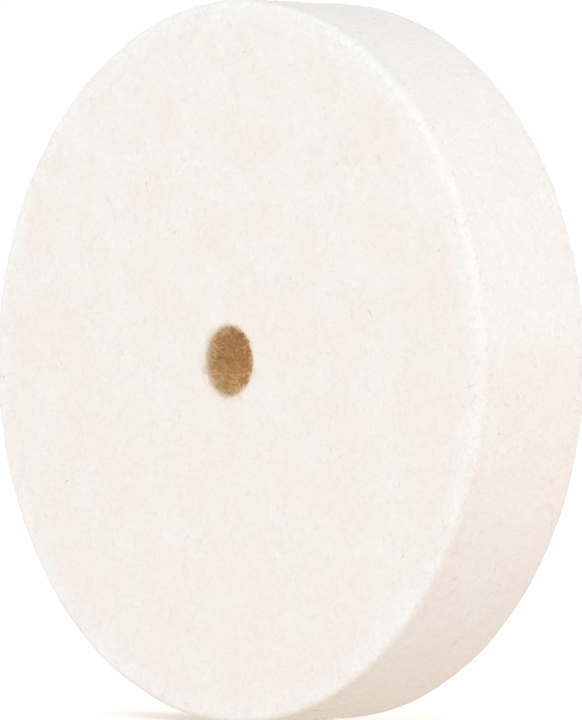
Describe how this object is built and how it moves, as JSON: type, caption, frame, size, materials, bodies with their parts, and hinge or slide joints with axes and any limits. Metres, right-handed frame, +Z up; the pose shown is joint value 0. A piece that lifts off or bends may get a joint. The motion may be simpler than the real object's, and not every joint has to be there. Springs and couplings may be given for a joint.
{
  "type": "felt polishing wheel",
  "caption": "Thick round polishing wheel of hard pressed wool felt with flat faces, a flat rim and a plain central bore for a spindle.",
  "frame": {"origin": "centre of the wheel, on the bore's axis and midway between the two faces", "axes": "+Y along the spin axis out of the back face, +Z up, so the wheel stands upright on its rim"},
  "size_m": [0.1, 0.02, 0.1],
  "materials": {
    "wool_felt": "matte hard pressed wool felt, warm white, light brown inside the bore"
  },
  "bodies": {
    "root": {"felt_disc": "wool_felt"}
  },
  "joints": []
}
